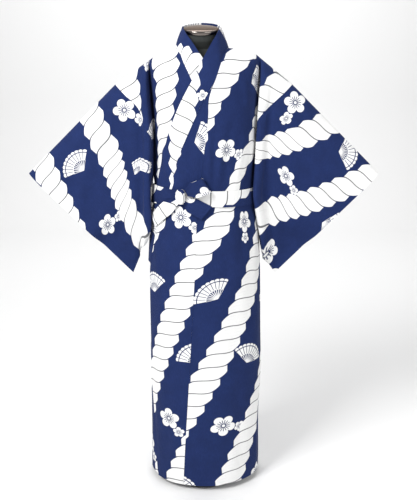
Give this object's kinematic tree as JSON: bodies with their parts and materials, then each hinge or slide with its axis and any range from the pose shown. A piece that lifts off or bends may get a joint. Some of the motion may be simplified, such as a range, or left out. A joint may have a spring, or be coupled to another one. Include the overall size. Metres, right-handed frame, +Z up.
{
  "type": "yukata robe on limbless dress form",
  "caption": "Wrapped cotton yukata robe with tied belt and open slanting sleeves, worn by a limbless dress form on a pole stand.",
  "frame": {"origin": "centre of the stand's base, on the floor", "axes": "+Z up, the robe's front faces -Y, and the wearer's left side is towards +X"},
  "size_m": [1.082, 0.2968, 1.454],
  "materials": {
    "cotton": "matte navy plain-weave cotton with a white dyed pattern",
    "collar_cotton": "matte navy cotton, folded double",
    "belt_cotton": "matte navy cotton, stiffened",
    "jersey": "dark matte jersey cover",
    "cap_metal": "polished",
    "pole_metal": "satin",
    "base_metal": "black satin paint"
  },
  "bodies": {
    "root": {"body_left": "cotton", "body_right": "cotton", "overlap_left": "cotton", "overlap_right": "cotton", "sleeve_left": "cotton", "sleeve_right": "cotton", "collar": "collar_cotton", "belt_band": "belt_cotton", "belt_knot": "belt_cotton", "belt_loop": "belt_cotton", "belt_end_left": "belt_cotton", "belt_end_right": "belt_cotton", "form_torso": "jersey", "neck_cap": "cap_metal", "stand_pole": "pole_metal", "stand_base": "base_metal"}
  },
  "joints": []
}
